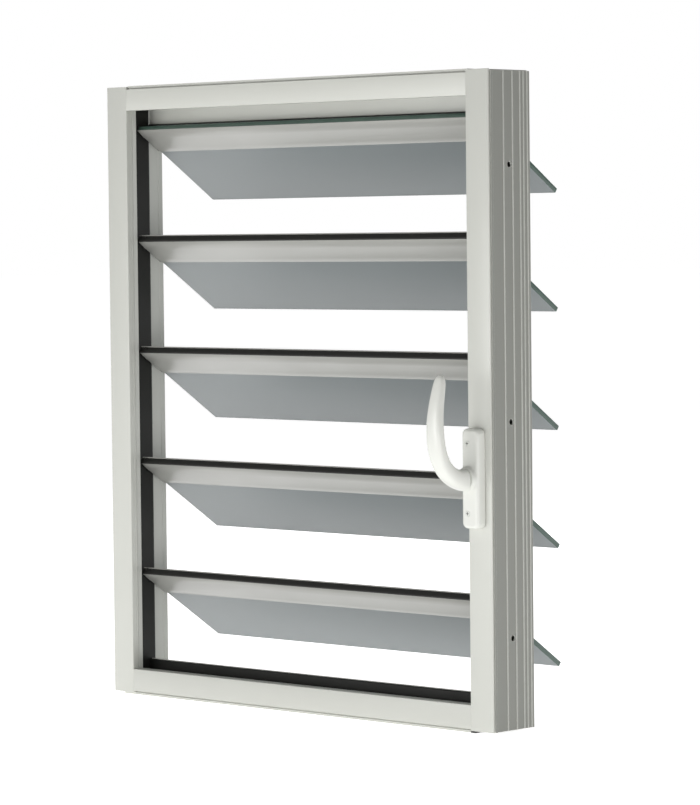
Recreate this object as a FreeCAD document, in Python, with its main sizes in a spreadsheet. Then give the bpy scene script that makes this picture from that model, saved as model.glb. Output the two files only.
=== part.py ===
import FreeCAD, Part
import math
import os
import re
import Sketcher

# Louvre window: an aluminium frame with five tilting glass blades, worked by one turning handle.
# Frame of reference: X across the window, centred; Y = 0 at mid-depth, -Y is the room side;
# Z = 0 under the base plate. In the notes below "inset" is the distance inwards from the outer
# edge of a jamb and "deep" is the distance back from the room-side face.

V = FreeCAD.Vector
doc = FreeCAD.newDocument("louvre_window")
sheet = doc.addObject("Spreadsheet::Sheet", "dims")

SIZES = {
    # overall frame
    "frame_width": 630.0, "frame_height": 750.0, "frame_depth": 70.0, "plate_gauge": 2.5,
    "face_width": 34.0, "box_depth": 16.0, "wall": 2.0, "web_inset": 22.5,
    "wing_gauge": 1.0, "plug_inset": 36.5, "sill_top": 31.6, "head_height": 30.0, "shadow_gap": 1.7,
    "upstand_top": 41.2, "upstand_back": 40.2, "downstand_drop": 58.0, "downstand_back": 48.0,
    # blades
    "blade_length": 569.0, "blade_height": 154.0, "glass_gauge": 6.0, "blade_pitch": 137.0,
    "lowest_pivot": 141.2, "pivot_depth": 38.0, "tip_above_pivot": 17.5,
    "rest_tilt": 56.0, "closing_turn": 52.5, "rail_height": 46.0, "strip_gauge": 1.3,
    "seal_rise": 2.5, "cap_gauge": 3.0, "seal_gauge": 3.5, "seal_front": 18.0, "seal_back": 46.0,
    # pivots and linkage
    "stub_radius": 4.0, "running_gap": 0.05, "bush_radius": 6.5, "rib_height": 1.0, "cover_drop": 1.0,
    "crank_radius": 16.0, "crank_gauge": 3.5, "crank_hub": 7.0, "pin_radius": 2.0,
    "link_gauge": 2.5, "link_width": 8.0, "drive_pin_radius": 2.5, "drive_height": 300.0,
    "slot_play": 0.3, "rod_inset": 14.5,
    # handle and drive
    "spindle_inset": 24.4, "spindle_height": 289.5, "spindle_radius": 3.0, "tail_radius": 2.5,
    "handle_turn": 180.0, "pinion_teeth": 10.0, "pinion_face": 5.0, "tooth_share": 0.36,
    "plate_width": 25.0, "plate_height": 113.0, "plate_thickness": 13.0, "plate_inset": 21.3,
    "screw_spacing": 79.0, "boss_radius": 13.0, "boss_rise": 5.0,
    "lever_reach": 50.0, "lever_rise": 118.0, "lever_width": 19.0, "lever_thickness": 13.0,
    # fixings
    "fixing_depth": 36.0, "fixing_radius": 3.5,
    "fixing_low": 107.0, "fixing_mid": 352.0, "fixing_high": 642.0,
}
for row, (alias, value) in enumerate(SIZES.items(), start=1):
    sheet.set("A%d" % row, alias)
    sheet.set("B%d" % row, repr(value))
    sheet.setAlias("B%d" % row, alias)
doc.recompute()

BLADES = (1, 2, 3, 4, 5)          # numbered from the top
SIDES = {"left": -1, "right": 1}
PARTS = []


def size(alias):
    return float(getattr(sheet, alias))


def bound(text):
    """Turns plain dimension words into references to the spreadsheet."""
    def refer(word):
        name = word.group(0)
        return "dims." + name if name in SIZES else name

    return re.sub(r"[a-z]+(?:_[a-z]+)*", refer, str(text))


def across(side, inset):
    return "%d*(frame_width/2-(%s))" % (SIDES[side], inset)


def deep(depth):
    return "(%s)-frame_depth/2" % depth


def pivot_z(blade):
    return "lowest_pivot+%d*blade_pitch" % (len(BLADES) - blade)


def bind(obj, **expressions):
    for name, text in expressions.items():
        obj.setExpression(name, bound(text))
    return obj


def place(obj, base, axis=None, angle=0.0, angle_text=None):
    """Fixes the position from three expressions and, if given, a turn about an axis."""
    if axis is not None:
        obj.Placement = FreeCAD.Placement(V(0, 0, 0), FreeCAD.Rotation(axis, angle))
    if angle_text is not None:
        obj.setExpression(".Placement.Rotation.Angle", bound(angle_text))
    for letter, text in zip("xyz", base):
        obj.setExpression(".Placement.Base." + letter, bound(text))
    return obj


def keep(obj, label):
    obj.Label = label
    PARTS.append(obj)
    return obj


def box(name, low, high):
    item = doc.addObject("Part::Box", name)
    bind(item, Length="(%s)-(%s)" % (high[0], low[0]), Width="(%s)-(%s)" % (high[1], low[1]),
         Height="(%s)-(%s)" % (high[2], low[2]))
    return place(item, low)


TURNS = {"x": (V(0, 1, 0), 90.0), "y": (V(1, 0, 0), -90.0), "z": (None, 0.0)}


def rod(name, along, radius, length, base):
    """A cylinder that starts at base and runs along +x, +y or +z."""
    item = doc.addObject("Part::Cylinder", name)
    bind(item, Radius=radius, Height=length)
    axis, angle = TURNS[along]
    return place(item, base, axis, angle)


def join(name, pieces):
    item = doc.addObject("Part::MultiFuse", name)
    item.Shapes = pieces
    return item


def cut(name, base, tools):
    item = doc.addObject("Part::Cut", name)
    item.Base = base
    item.Tool = tools[0] if len(tools) == 1 else join(name + "_tools", tools)
    return item


def extrude(name, plane, loops, length, base=("0", "0", "0"), axis=None, angle=0.0, angle_text=None):
    """A body padded from closed outlines whose corners are all driven by expressions."""
    body = doc.addObject("PartDesign::Body", name)
    sketch = doc.addObject("Sketcher::SketchObject", name + "_section")
    body.addObject(sketch)
    for feature in body.Origin.OriginFeatures:
        if feature.Role == plane:
            sketch.AttachmentSupport = [(feature, "")]
    sketch.MapMode = "FlatFace"
    first = 0
    for loop in loops:
        rough = [V(number(a), number(b), 0) for a, b in loop]
        count = len(rough)
        for k in range(count):
            sketch.addGeometry(Part.LineSegment(rough[k], rough[(k + 1) % count]), False)
        for k in range(count):
            sketch.addConstraint(Sketcher.Constraint("Coincident", first + k, 2, first + (k + 1) % count, 1))
        for k, (a, b) in enumerate(loop):
            for kind, value, text in (("DistanceX", rough[k].x, a), ("DistanceY", rough[k].y, b)):
                index = sketch.addConstraint(Sketcher.Constraint(kind, -1, 1, first + k, 1, value))
                sketch.setExpression("Constraints[%d]" % index, bound(text))
        first += count
    pad = doc.addObject("PartDesign::Pad", name + "_pad")
    body.addObject(pad)
    pad.Profile = sketch
    pad.setExpression("Length", bound(length))
    return place(body, base, axis, angle, angle_text)


def number(text):
    """The present value of an expression, used to lay out a sketch before it is bound."""
    words = {alias: size(alias) for alias in SIZES}
    pieces = re.findall(r"[a-z_]+|[\d.]+|[-+*/()]", str(text))
    return Arithmetic([words.get(piece, piece) for piece in pieces]).sum()


class Arithmetic:
    """Sums, products and brackets over a list of tokens."""

    def __init__(self, tokens):
        self.tokens = tokens

    def take(self, *options):
        if self.tokens and self.tokens[0] in options:
            return self.tokens.pop(0)
        return None

    def sum(self):
        value = self.product()
        sign = self.take("+", "-")
        while sign:
            value = value + self.product() if sign == "+" else value - self.product()
            sign = self.take("+", "-")
        return value

    def product(self):
        value = self.single()
        sign = self.take("*", "/")
        while sign:
            value = value * self.single() if sign == "*" else value / self.single()
            sign = self.take("*", "/")
        return value

    def single(self):
        if self.take("-"):
            return -self.single()
        if self.take("("):
            value = self.sum()
            self.take(")")
            return value
        return float(self.tokens.pop(0))


def rectangle(low, high):
    return [(low[0], low[1]), (high[0], low[1]), (high[0], high[1]), (low[0], high[1])]


# ---------------------------------------------------------------- frame

RIBS = (26.7, 42.0, 54.8, 60.8)
WEB = "web_inset-wall"


def jamb_outline(side):
    """Hollow section: a front box at the room side and a deep pocket behind it."""
    points = [("0", "2.5+shadow_gap"), ("0", "7.6"), ("rib_height", "8.2")]
    for rib in RIBS:
        points += [("rib_height", "%s-1.1" % rib), ("0", "%s-0.6" % rib),
                   ("0", "%s+0.6" % rib), ("rib_height", "%s+1.1" % rib)]
    points += [("rib_height", "frame_depth-3.8"), ("0", "frame_depth-3.2"), ("0", "frame_depth"),
               ("web_inset", "frame_depth"), ("web_inset", "frame_depth-6.5"),
               ("web_inset-0.6", "frame_depth-6.9"), ("web_inset", "frame_depth-7.3"),
               ("web_inset", "box_depth"), ("face_width", "box_depth"), ("face_width", "10"),
               ("face_width-2", "9.5"), ("face_width-2", "2.5+shadow_gap")]
    front = rectangle(("wall+rib_height", "6"), ("face_width-4", "box_depth-wall"))
    pocket = rectangle(("wall+rib_height", "box_depth"), (WEB, "frame_depth-wall"))
    return [[(across(side, u), deep(d)) for u, d in loop] for loop in (points, front, pocket)]


def jamb(side):
    low, length = "plate_gauge", "frame_height-2*plate_gauge"
    stock = extrude(side + "_jamb_stock", "XY_Plane", jamb_outline(side), length, ("0", "0", low))
    start = {"left": across("left", WEB) + "-0.5", "right": across("right", "web_inset") + "-0.5"}[side]
    tools = [rod("%s_web_hole_%d" % (side, k), "x", "bush_radius", "wall+1",
                 (start, deep("pivot_depth"), pivot_z(k))) for k in BLADES]
    outer = {"left": across("left", "0") + "-1", "right": across("right", "wall+rib_height") + "-1"}[side]
    for level in ("low", "mid", "high"):
        tools.append(rod("%s_fixing_%s" % (side, level), "x", "fixing_radius", "wall+rib_height+2",
                         (outer, deep("fixing_depth"), "fixing_" + level)))
    for end, centre in (("sill", "plate_gauge+14.5"), ("head", "frame_height-plate_gauge-13")):
        tools.append(corner_block("%s_%s_key_way" % (side, end), side, centre, "face_width-6"))
    if side == "right":
        spindle = (across("right", "spindle_inset"), deep("2"), "spindle_height")
        tools.append(rod("spindle_front_hole", "y", "spindle_radius+running_gap", "6", spindle))
        rear = (spindle[0], deep("box_depth-wall-1"), spindle[2])
        tools.append(rod("spindle_rear_hole", "y", "tail_radius+running_gap", "wall+2", rear))
        low = (across("right", "19.5"), deep("box_depth-wall-1"), "drive_height-6.1")
        high = (across("right", "14.5"), deep("box_depth+1"), "drive_height+21")
        tools.append(box("drive_arm_slot", low, high))
        for sign in (-1, 1):
            tools.append(rod("screw_hole_in_jamb_%d" % (sign + 1), "y", "1.6", "5",
                             (spindle[0], deep("2"), "spindle_height+%d*screw_spacing/2" % sign)))
    keep(cut(side + "_jamb", stock, tools), side + "_jamb")


def corner_block(name, side, centre, inner, outer="face_width+1"):
    """The block that keys a jamb's front box to the box of the sill or the head."""
    ends = [across(side, outer), across(side, inner)]
    if side == "left":
        ends.reverse()
    return box(name, (ends[0], deep("10"), "%s-7" % centre), (ends[1], deep("box_depth-wall"), "%s+7" % centre))


def cover(side):
    """Clip-on face strip of a jamb; its outer leg sits in, which leaves a shadow gap."""
    outline = [("0", "0"), ("face_width", "0"), ("face_width", "5.8"), ("face_width-0.5", "6.1"),
               ("face_width", "6.4"), ("face_width", "9.3"), ("face_width-2", "9.3"),
               ("face_width-2", "2.5+shadow_gap"), ("3.4", "2.5+shadow_gap"), ("3.4", "2.4"), ("0", "1.8")]
    loop = [(across(side, u), deep(d)) for u, d in outline]
    hollow = rectangle(("5", "1.9"), ("face_width-3.6", "2.3+shadow_gap"))
    hollow = [(across(side, u), deep(d)) for u, d in hollow]
    stock = extrude(side + "_cover_stock", "XY_Plane", [loop, hollow], "frame_height-cover_drop-plate_gauge",
                    ("0", "0", "plate_gauge"))
    if side == "left":
        keep(stock, "left_jamb_cover")
        return
    x = across("right", "spindle_inset")
    tools = [rod("cover_spindle_hole", "y", "spindle_radius+1", "8", (x, deep("-1"), "spindle_height"))]
    for sign in (-1, 1):
        tools.append(rod("cover_screw_hole_%d" % (sign + 1), "y", "1.6", "8",
                         (x, deep("-1"), "spindle_height+%d*screw_spacing/2" % sign)))
    keep(cut("right_cover", stock, tools), "right_jamb_cover")


def jamb_seal(side):
    near, far = across(side, "web_inset"), across(side, "web_inset+seal_gauge")
    lip = across(side, "web_inset+seal_gauge-1.2")
    outline = [(near, deep("seal_front")), (lip, deep("seal_front")), (far, deep("seal_front+3")),
               (far, deep("seal_back-2")), (lip, deep("seal_back")), (near, deep("seal_back"))]
    stock = extrude(side + "_seal_stock", "XY_Plane", [outline], "frame_height-2*plate_gauge-4",
                    ("0", "0", "plate_gauge+2"))
    start = {"left": near, "right": far}[side] + "-1"
    tools = [rod("%s_seal_hole_%d" % (side, k), "x", "stub_radius+1", "seal_gauge+2",
                 (start, deep("pivot_depth"), pivot_z(k))) for k in BLADES]
    keep(cut(side + "_seal", stock, tools), side + "_jamb_seal")


def pivot_bushes(side):
    """Plain bearings pressed into the jamb web and held there by the seal strip."""
    barrel = {"left": across("left", WEB) + "-0.5", "right": across("right", "web_inset")}[side]
    bore = across(side, "web_inset") + "-4"
    rings = []
    for k in BLADES:
        y, z = deep("pivot_depth"), pivot_z(k)
        solid = rod("%s_bush_barrel_%d" % (side, k), "x", "bush_radius", "wall+0.5", (barrel, y, z))
        hole = rod("%s_bush_bore_%d" % (side, k), "x", "stub_radius+running_gap", "8", (bore, y, z))
        rings.append(cut("%s_bush_ring_%d" % (side, k), solid, [hole]))
    keep(join(side + "_bushes", rings), side + "_pivot_bushes")


def rail_across(name, outline, inset):
    """A frame rail of constant section that runs between the jambs."""
    loops = [[(deep(d), z) for d, z in loop] for loop in outline]
    return extrude(name, "YZ_Plane", loops, "frame_width-2*(%s)" % inset,
                   ("-(frame_width/2-(%s))" % inset, "0", "0"))


def sill():
    front = [("0", "plate_gauge+2"), ("5", "plate_gauge+2"), ("5", "plate_gauge"), ("14", "plate_gauge"),
             ("14", "plate_gauge+2"), ("box_depth", "plate_gauge+2"), ("box_depth", "sill_top"),
             ("1.2", "sill_top"), ("0", "sill_top-1.2")]
    hollow = rectangle(("wall", "plate_gauge+7.5"), ("box_depth-wall", "plate_gauge+21.5"))
    rear = [("box_depth", "sill_top-9"), ("upstand_back", "sill_top-9"), ("upstand_back", "upstand_top"),
            ("upstand_back-1.7", "upstand_top"), ("upstand_back-1.7", "sill_top-7"), ("box_depth", "sill_top-7")]
    keep(join("sill_bar", [rail_across("sill_front", [front, hollow], "face_width"),
                           rail_across("sill_rear", [rear], "web_inset+seal_gauge")]), "sill")


def head():
    top = "frame_height-plate_gauge"
    front = [("0", top + "-1.6"), ("5", top + "-1.6"), ("5", top), ("14", top), ("14", top + "-1.6"),
             ("box_depth", top + "-1.6"), ("box_depth", "frame_height-head_height"), ("1.2", "frame_height-head_height"),
             ("0", "frame_height-head_height+1.2")]
    hollow = rectangle(("wall", top + "-20"), ("box_depth-wall", top + "-6"))
    rear = [("box_depth", "frame_height-head_height+10"), ("downstand_back", "frame_height-head_height+10"),
            ("downstand_back", "frame_height-downstand_drop"), ("downstand_back-2", "frame_height-downstand_drop"),
            ("downstand_back-2", "frame_height-head_height+8"), ("box_depth", "frame_height-head_height+8")]
    keep(join("head_bar", [rail_across("head_front", [front, hollow], "face_width"),
                           rail_across("head_rear", [rear], "web_inset+seal_gauge")]), "head")


def frame_plates():
    left, right = across("left", "15"), across("right", "plug_inset")
    keep(box("base_plate", (left, deep("3"), "0"), (right, deep("frame_depth"), "plate_gauge")), "base_plate")
    plug_end = across("right", "plug_inset-7")
    keep(box("drain_plug", (right, deep("2.5"), "0"), (plug_end, deep("22"), "plate_gauge")), "drain_plug")
    underside, joint = "frame_height-plate_gauge", "face_width+0.2"
    sheets = [box("top_plate_middle", (across("left", joint), deep("3"), underside),
                  (across("right", joint), deep("frame_depth"), "frame_height"))]
    for side in ("left", "right"):
        ends = [across(side, "4"), across(side, joint)][::-SIDES[side]]
        sheets.append(box("top_plate_" + side, (ends[0], deep("9.8"), underside),
                          (ends[1], deep("frame_depth"), underside + "+wing_gauge")))
    keep(join("top_plate_sheet", sheets), "top_plate")


def frame_seals():
    """Black strips: in front of the sill lip and in front of the head downstand."""
    inset = "web_inset+seal_gauge"
    strip = [("upstand_back-5.2", "sill_top-7"), ("upstand_back-1.7", "sill_top-7"),
             ("upstand_back-1.7", "upstand_top-0.7"), ("upstand_back-4.2", "upstand_top-0.7"),
             ("upstand_back-5.2", "upstand_top-1.7")]
    keep(rail_across("sill_strip", [strip], inset), "sill_seal")
    lip = [("downstand_back-2", "frame_height-downstand_drop+3"), ("downstand_back-2", "frame_height-downstand_drop+12"),
           ("downstand_back-5.5", "frame_height-downstand_drop+11"), ("downstand_back-5.5", "frame_height-downstand_drop+5")]
    keep(rail_across("head_strip", [lip], inset), "head_seal")


def corner_keys():
    for end, centre in (("sill", "plate_gauge+14.5"), ("head", "frame_height-plate_gauge-13")):
        blocks = [corner_block("%s_%s_key" % (side, end), side, centre, "10", "70") for side in SIDES]
        keep(join(end + "_keys", blocks), end + "_corner_keys")


# ---------------------------------------------------------------- blades

TIP = "tip_above_pivot"
HALF = "glass_gauge/2"


def along_blade(name, blade, outline, length="blade_length"):
    """A strip that runs the length of a blade; corners are (through the glass, up the blade)."""
    return extrude(name, "YZ_Plane", [outline], length,
                   ("-(%s)/2" % length, deep("pivot_depth"), pivot_z(blade)), V(1, 0, 0), 56.0, "rest_tilt")


def glass(blade):
    foot, arris = "tip_above_pivot-blade_height", "0.6"
    outline = [("-glass_gauge/2", foot + "+" + arris), ("-glass_gauge/2+" + arris, foot),
               (HALF + "-" + arris, foot), (HALF, foot + "+" + arris), (HALF, TIP + "-" + arris),
               (HALF + "-" + arris, TIP), ("-glass_gauge/2+" + arris, TIP), ("-glass_gauge/2", TIP + "-" + arris)]
    name = "blade_%d_glass" % blade
    keep(along_blade(name, blade, outline), name)


def blade_strips(blade):
    """The aluminium rail on the room face and, below the top blade, the seal and its keeper."""
    inner = "-glass_gauge/2"
    rail = [(inner, TIP), (inner + "-1.1", TIP), (inner + "-1.9", TIP + "-14.5"), (inner + "-1.5", TIP + "-15"),
            (inner + "-1.5", TIP + "-rail_height+9"), (inner + "-0.9", TIP + "-rail_height"),
            (inner, TIP + "-rail_height")]
    name = "blade_%d_rail" % blade
    keep(along_blade(name, blade, rail), name)
    if blade == 1:
        return
    seal = [(inner + "-1.2", TIP), (HALF, TIP), (HALF, TIP + "+seal_rise"), (inner + "-0.6", TIP + "+seal_rise"),
            (inner + "-1.2", TIP + "+seal_rise-0.6")]
    name = "blade_%d_top_seal" % blade
    tabs = []
    for n, start in enumerate(("-blade_length/2+7", "-blade_length/2+12")):
        tabs.append(box("seal_tab_%d_%d" % (blade, n), (start, "-0.5", TIP + "+seal_rise-0.3"),
                        (start + "+1.4", "1.5", TIP + "+seal_rise+3.5")))
    tab_pair = join("seal_tabs_%d" % blade, tabs)
    place(tab_pair, ("0", deep("pivot_depth"), pivot_z(blade)), V(1, 0, 0), 56.0, "rest_tilt")
    keep(join("seal_%d" % blade, [along_blade(name + "_strip", blade, seal), tab_pair]), name)
    keeper = [(HALF, TIP + "-15"), (HALF + "+strip_gauge", TIP + "-14"),
              (HALF + "+strip_gauge", TIP + "+seal_rise+0.4"), (HALF, TIP + "+seal_rise+0.4")]
    name = "blade_%d_keeper" % blade
    keep(along_blade(name, blade, keeper), name)


def end_cap(blade, side):
    """Moulded cap on a blade end with the stub that turns in the jamb bush."""
    sign = SIDES[side]
    face = "blade_length/2"
    stub_end = "frame_width/2-%s" % ("(web_inset-wall-1.5)" if side == "left" else "(rod_inset+1.5)")
    if sign < 0:
        low, high = "-%s-cap_gauge" % face, "-%s" % face
        stub_from = "-(%s)" % stub_end
        stub_to = low
    else:
        low, high = face, face + "+cap_gauge"
        stub_from, stub_to = high, stub_end
    tag = "%s_%d" % (side, blade)
    pieces = [box("cap_plate_" + tag, (low, "-glass_gauge/2-0.2", TIP + "-rail_height"),
                  (high, "glass_gauge/2+0.2", TIP + "-0.5")),
              rod("cap_stub_" + tag, "x", "stub_radius", "(%s)-(%s)" % (stub_to, stub_from),
                  (stub_from, "0", "0"))]
    cap = join("cap_" + tag, pieces)
    place(cap, ("0", deep("pivot_depth"), pivot_z(blade)), V(1, 0, 0), 56.0, "rest_tilt")
    keep(cap, "blade_%d_%s_cap" % (blade, side))


def crank(blade):
    """Arm fixed on the right-hand stub; its pin drives the link bar."""
    start = "frame_width/2-(rod_inset+1.5+crank_gauge)"
    tip = "-crank_radius"
    pieces = [rod("crank_hub_%d" % blade, "x", "crank_hub", "crank_gauge", (start, "0", "0")),
              rod("crank_eye_%d" % blade, "x", "pin_radius+3", "crank_gauge", (start, tip, "0")),
              box("crank_bar_%d" % blade, (start, tip, "-4"), (start + "+crank_gauge", "0", "4")),
              rod("crank_pin_%d" % blade, "x", "pin_radius", "crank_gauge+1+link_gauge+1", (start, tip, "0"))]
    hole = rod("crank_hole_%d" % blade, "x", "stub_radius", "crank_gauge+2", (start + "-1", "0", "0"))
    arm = cut("crank_%d" % blade, join("crank_solid_%d" % blade, pieces), [hole])
    place(arm, ("0", deep("pivot_depth"), pivot_z(blade)), V(1, 0, 0), 26.25, "closing_turn/2")
    keep(arm, "blade_%d_crank" % blade)


# ---------------------------------------------------------------- linkage and drive

PIN_Y = "pivot_depth-crank_radius*cos(closing_turn/2)"
PIN_DROP = "crank_radius*sin(closing_turn/2)"


def link_bar():
    """Flat bar that ties the five crank pins together, with one stub that enters the drive slide."""
    x = "frame_width/2-rod_inset"
    low, high = pivot_z(5), pivot_z(1)
    bar = box("link_flat", (x, deep(PIN_Y + "-link_width/2"), "%s-(%s)-6" % (low, PIN_DROP)),
              (x + "+link_gauge", deep(PIN_Y + "+link_width/2"), "%s-(%s)+6" % (high, PIN_DROP)))
    stub = rod("link_stub", "x", "drive_pin_radius", "4.8", (x + "-4.3", deep(PIN_Y), "drive_height"))
    holes = [rod("link_hole_%d" % k, "x", "pin_radius+running_gap", "link_gauge+2",
                 (x + "-1", deep(PIN_Y), "%s-(%s)" % (pivot_z(k), PIN_DROP))) for k in BLADES]
    keep(cut("link", join("link_solid", [bar, stub]), holes), "link_bar")


def pinion_radius():
    travel = 2 * size("crank_radius") * math.sin(math.radians(size("closing_turn") / 2))
    return travel / math.radians(size("handle_turn"))


def prism(points, push):
    return Part.Face(Part.makePolygon(points + points[:1])).extrude(push)


def gear_y():
    return (size("box_depth") - size("wall") + 6.0) / 2 - size("frame_depth") / 2


def drive_spindle():
    """The shaft of the handle with the pinion cut on it."""
    radius, teeth, face = pinion_radius(), int(size("pinion_teeth")), size("pinion_face")
    pitch = 2 * math.pi / teeth
    root, tip, half = radius - 1.15, radius + 0.72, pitch * size("tooth_share") / 2
    middle = gear_y()
    points = []
    for tooth in range(teeth):
        centre = tooth * pitch
        for reach, share in ((root, -1.45), (radius, -1.0), (tip, -0.38),
                             (tip, 0.38), (radius, 1.0), (root, 1.45)):
            turn = centre + share * half
            points.append(V(reach * math.cos(turn), middle - face / 2, reach * math.sin(turn)))
    shape = prism(points, V(0, face, 0))
    front = -size("frame_depth") / 2 - size("plate_thickness") - size("boss_rise") - 9
    shaft = Part.makeCylinder(size("spindle_radius"), middle - front, V(0, front, 0), V(0, 1, 0))
    back = size("box_depth") - size("frame_depth") / 2 - 0.4
    tail = Part.makeCylinder(size("tail_radius"), back - middle, V(0, middle, 0), V(0, 1, 0))
    item = doc.addObject("Part::Feature", "spindle")
    item.Shape = shape.fuse([shaft, tail]).removeSplitter()
    place(item, (across("right", "spindle_inset"), "0", "spindle_height"))
    keep(item, "handle_spindle")


def drive_slide():
    """Rack that the pinion moves, with an arm that reaches the link bar through the jamb box."""
    radius, teeth, face = pinion_radius(), int(size("pinion_teeth")), size("pinion_face")
    step = 2 * math.pi * radius / teeth
    thick = step * size("tooth_share")
    line = size("frame_width") / 2 - size("spindle_inset") + radius
    root, tip, back = line + 1.15, line - 0.72, line + 6.0
    level, middle = size("spindle_height"), gear_y()
    points = []
    for tooth in range(-7, 3):
        centre = level + (tooth + 0.5) * step
        for reach, share in ((root, -0.92), (line, -0.5), (tip, -0.20),
                             (tip, 0.20), (line, 0.5), (root, 0.92)):
            points.append(V(reach, middle - face / 2, centre + share * thick))
    top, bottom = level + 3.4 * step, level - 7.4 * step
    points += [V(root, middle - face / 2, top), V(back, middle - face / 2, top),
               V(back, middle - face / 2, bottom), V(root, middle - face / 2, bottom)]
    rack = prism(points, V(0, face, 0))
    drive, half_depth = size("drive_height"), size("frame_depth") / 2
    pin_y = size("pivot_depth") - size("crank_radius") * math.cos(math.radians(size("closing_turn") / 2))
    arm_x = size("frame_width") / 2 - size("rod_inset") - 4.5
    arm = Part.makeBox(4, pin_y + 7 - (middle + half_depth), 11, V(arm_x, middle, drive - 5.5))
    neck = Part.makeBox(back - root, face, drive + 5.5 - (top - 1), V(root, middle - face / 2, top - 1))
    play = size("drive_pin_radius") + size("slot_play")
    corner = V(arm_x - 1, pin_y - half_depth - play - 2.0, drive - play)
    slot = Part.makeBox(6, 2 * play + 2.6, 2 * play, corner)
    item = doc.addObject("Part::Feature", "slide")
    item.Shape = rack.fuse([neck, arm]).cut(slot).removeSplitter()
    keep(item, "drive_slide")


def rack_guide():
    """Fixed block that backs the rack in the front box."""
    face = "frame_width/2-wall-rib_height"
    pitch_radius = "2*crank_radius*sin(closing_turn/2)*180/(handle_turn*3.14159265)"
    near = "frame_width/2-spindle_inset+6.3+" + pitch_radius
    keep(box("guide", (near, deep("6"), "spindle_height-26"), (face, deep("box_depth-wall"), "spindle_height+36")),
         "rack_guide")


# ---------------------------------------------------------------- handle

def soft_box(low, high, radius, side_radius):
    """A box with rounded upright corners and a rounded room-side rim."""
    shape = Part.makeBox(*(b - a for a, b in zip(low, high)), V(*low))
    ends = [e for e in shape.Edges if abs(e.Length - (high[1] - low[1])) < 1e-6 and
            abs(e.tangentAt(e.FirstParameter).y) > 0.9]
    shape = shape.makeFillet(side_radius, ends)
    rim = [e for e in shape.Edges if max(v.Point.y for v in e.Vertexes) < low[1] + 1e-6]
    return shape.makeFillet(radius, rim)


def handle_plate():
    front = -size("frame_depth") / 2
    thick, width, tall = size("plate_thickness"), size("plate_width"), size("plate_height")
    centre = size("frame_width") / 2 - size("plate_inset")
    level, x = size("spindle_height"), size("frame_width") / 2 - size("spindle_inset")
    shape = soft_box((centre - width / 2, front - thick, level - tall / 2),
                     (centre + width / 2, front, level + tall / 2), 4.5, 6.0)
    rise, radius = size("boss_rise"), size("boss_radius")
    boss = Part.makeCone(radius + 3.5, radius - 0.5, rise + 7, V(x, front - thick + 7, level), V(0, -1, 0))
    near = x - radius - 0.5
    trim = Part.makeBox(centre + width / 2 - near, 60, tall, V(near, front - 50, level - tall / 2))
    boss = boss.common(trim)
    rim = [e for e in boss.Edges if max(v.Point.y for v in e.Vertexes) < front - thick - rise + 1e-6]
    boss = boss.makeFillet(2.0, rim)
    shape = shape.fuse(boss)
    bores = [Part.makeCylinder(size("spindle_radius") + 0.5, 60, V(x, front - 50, level), V(0, 1, 0))]
    for sign in (-1, 1):
        z = level + sign * size("screw_spacing") / 2
        bores.append(Part.makeCylinder(1.6, 60, V(x, front - 50, z), V(0, 1, 0)))
        bores.append(Part.makeCylinder(3.4, 40, V(x, front - thick + 1.2 - 40, z), V(0, 1, 0)))
    item = doc.addObject("Part::Feature", "plate")
    item.Shape = shape.cut(bores).removeSplitter()
    keep(item, "handle_plate")


def handle_screws():
    """Countersunk-looking pan screws that fix the handle plate through the cover to the jamb."""
    x, items = across("right", "spindle_inset"), []
    for sign in (-1, 1):
        z = "spindle_height+%d*screw_spacing/2" % sign
        head_y = deep("-plate_thickness-0.4")
        pan = rod("screw_head_%d" % (sign + 1), "y", "3.1", "1.6", (x, head_y, z))
        shank = rod("screw_shank_%d" % (sign + 1), "y", "1.6", "plate_thickness+7", (x, head_y, z))
        slots = [box("screw_cross_a_%d" % (sign + 1), (x + "-1.9", head_y + "-1", z + "-0.4"),
                     (x + "+1.9", head_y + "+0.9", z + "+0.4")),
                 box("screw_cross_b_%d" % (sign + 1), (x + "-0.4", head_y + "-1", z + "-1.9"),
                     (x + "+0.4", head_y + "+0.9", z + "+1.9"))]
        items.append(cut("screw_%d" % (sign + 1), join("screw_blank_%d" % (sign + 1), [pan, shank]), slots))
    keep(join("plate_screws", items), "handle_screws")


def rounded_section(centre, along, wide, thick, corner):
    """A rounded rectangle across the lever, wide in X and thick in the plane of the bend."""
    normal = V(0, along[1], -along[0])
    shape = []
    corner = min(corner, wide / 2 - 0.3, thick / 2 - 0.3)
    a, b = wide / 2, thick / 2
    mids = ((a - corner, b - corner, 0), (-a + corner, b - corner, 90), (-a + corner, -b + corner, 180),
            (a - corner, -b + corner, 270))

    def at(p, q):
        return centre + V(p, 0, 0) + normal * q

    previous = None
    first = None
    for cx, cy, start in mids:
        arc = []
        for turn in (0, 45, 90):
            angle = math.radians(start + turn)
            arc.append(at(cx + corner * math.cos(angle), cy + corner * math.sin(angle)))
        if previous is not None:
            shape.append(Part.makeLine(previous, arc[0]))
        shape.append(Part.Arc(*arc).toShape())
        first = first or arc[0]
        previous = arc[2]
    shape.append(Part.makeLine(previous, first))
    return Part.Wire(shape)


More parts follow.
